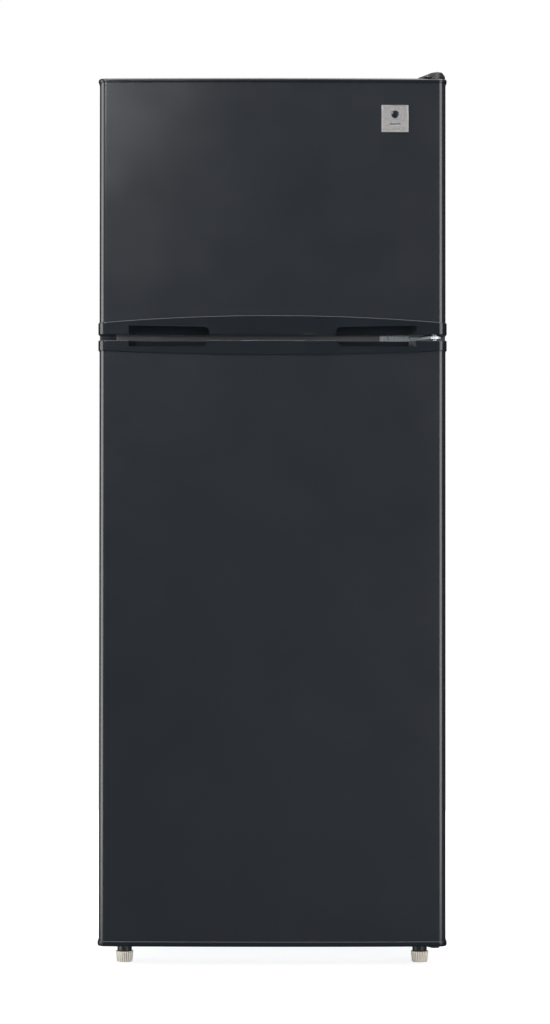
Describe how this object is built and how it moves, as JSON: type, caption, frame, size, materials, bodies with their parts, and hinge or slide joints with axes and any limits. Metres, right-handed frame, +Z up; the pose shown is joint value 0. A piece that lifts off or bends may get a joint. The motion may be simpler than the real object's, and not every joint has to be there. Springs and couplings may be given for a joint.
{
  "type": "top freezer refrigerator",
  "caption": "Upright refrigerator with its freezer above: bowed dark doors with finger pockets at the gap, glass shelves, drawer, door bins and rear machinery.",
  "frame": {"origin": "on the floor, under the middle of the bounding box", "axes": "+Z up, -Y out of the doors' front, +X towards the hinge side, on the right when seen from the front"},
  "size_m": [0.596, 0.65, 1.5304],
  "materials": {
    "door_steel": "satin, near black",
    "cabinet_steel": "textured, near black",
    "galvanised": "zinc plated",
    "dark_cap": "gloss, blue-black",
    "dark_plastic": "matte, black",
    "grey_bar": "satin, dark grey",
    "white_liner": "semi gloss, white",
    "clear_plastic": "clear",
    "gasket_rubber": "matte, dark grey",
    "foam": "rigid foam",
    "shelf_glass": "tempered, clear",
    "badge": "brushed",
    "black_steel": "satin black",
    "copper": "copper tube",
    "rubber_black": "matte",
    "foot_plastic": "matte, light grey",
    "roller_plastic": "matte, off white",
    "wire_white": "epoxy coated, white",
    "alu_coil": "mill finish",
    "lamp_glass": "frosted"
  },
  "bodies": {
    "cabinet": {"cabinet_wrapper": "cabinet_steel", "cabinet_back_panel": "galvanised", "base_pan": "galvanised", "cabinet_foam": "foam", "fridge_liner": "white_liner", "freezer_liner": "white_liner", "mullion_bar": "grey_bar", "top_hinge_bracket": "galvanised", "top_hinge_cover": "dark_plastic", "centre_hinge_bracket": "galvanised", "hinge_blank_plate": "grey_bar", "bottom_hinge_bracket": "black_steel", "left_foot_bracket": "black_steel", "hinge_screws": "galvanised", "hinge_pins": "galvanised", "roller_axles": "galvanised", "rear_crossmember": "galvanised", "compressor": "black_steel", "compressor_grommets": "rubber_black", "terminal_box": "dark_plastic", "drain_pan": "dark_plastic", "condenser_coil": "black_steel", "condenser_wires": "black_steel", "condenser_brackets": "dark_plastic", "filter_drier": "copper", "refrigerant_pipes": "copper", "evaporator_cover": "white_liner", "evaporator": "alu_coil", "fan_motor": "dark_plastic", "freezer_shelf": "wire_white", "control_box": "white_liner", "lamp": "lamp_glass", "lamp_cover": "clear_plastic", "air_duct": "white_liner", "shelf_glass": "shelf_glass", "shelf_trims": "white_liner"},
    "freezer_door": {"freezer_door_skin": "door_steel", "freezer_door_foam": "foam", "freezer_door_liner": "white_liner", "freezer_door_gasket": "gasket_rubber", "freezer_door_bins": "clear_plastic", "freezer_door_top_cap": "dark_cap", "freezer_handle_cap": "dark_cap", "badge_plate": "badge"},
    "fridge_door": {"fridge_door_skin": "door_steel", "fridge_door_foam": "foam", "fridge_door_liner": "white_liner", "fridge_door_gasket": "gasket_rubber", "fridge_door_bins": "clear_plastic", "fridge_door_deep_bin": "clear_plastic", "fridge_handle_cap": "dark_cap", "fridge_door_bottom_cap": "dark_cap"},
    "crisper_drawer": {"crisper_drawer": "clear_plastic"},
    "light_switch_button": {"light_switch_button": "white_liner"},
    "thermostat_knob": {"thermostat_knob": "white_liner"},
    "fan_blade": {"fan_blade": "dark_plastic"},
    "left_foot": {"left_foot": "foot_plastic"},
    "right_foot": {"right_foot": "foot_plastic"},
    "left_roller": {"left_roller": "roller_plastic"},
    "right_roller": {"right_roller": "roller_plastic"}
  },
  "joints": [
    {"name": "freezer_door_hinge", "type": "hinge", "parent": "cabinet", "child": "freezer_door", "pos_m": [0.278, -0.3, 1.3], "axis": [0, 0, 1], "range_deg": [0, 130]},
    {"name": "fridge_door_hinge", "type": "hinge", "parent": "cabinet", "child": "fridge_door", "pos_m": [0.278, -0.3, 0.55], "axis": [0, 0, 1], "range_deg": [0, 130]},
    {"name": "crisper_drawer_slide", "type": "slide", "parent": "cabinet", "child": "crisper_drawer", "axis": [0, -1, 0], "range_m": [0, 0.172]},
    {"name": "light_switch_press", "type": "slide", "parent": "cabinet", "child": "light_switch_button", "axis": [0, -1, 0], "range_m": [0, 0.004]},
    {"name": "thermostat_turn", "type": "hinge", "parent": "cabinet", "child": "thermostat_knob", "pos_m": [-0.052, -0.22, 1.018], "axis": [0, 1, 0], "range_deg": [-140, 140]},
    {"name": "fan_spin", "type": "hinge", "parent": "cabinet", "child": "fan_blade", "pos_m": [0, 0.215, 1.362], "axis": [0, 1, 0], "continuous": true},
    {"name": "left_foot_screw", "type": "hinge", "parent": "cabinet", "child": "left_foot", "pos_m": [-0.255, -0.239, 0.02], "axis": [0, 0, 1], "continuous": true},
    {"name": "right_foot_screw", "type": "hinge", "parent": "cabinet", "child": "right_foot", "pos_m": [0.255, -0.239, 0.02], "axis": [0, 0, 1], "continuous": true},
    {"name": "left_roller_spin", "type": "hinge", "parent": "cabinet", "child": "left_roller", "pos_m": [-0.255, 0.25, 0.018], "axis": [1, 0, 0], "continuous": true},
    {"name": "right_roller_spin", "type": "hinge", "parent": "cabinet", "child": "right_roller", "pos_m": [0.255, 0.25, 0.018], "axis": [1, 0, 0], "continuous": true}
  ],
  "couplings": [
    {"joint": "crisper_drawer_slide", "follows": "fridge_door_hinge", "m_per_rad": 0.075},
    {"joint": "light_switch_press", "follows": "fridge_door_hinge", "m_per_rad": 0.00175}
  ]
}
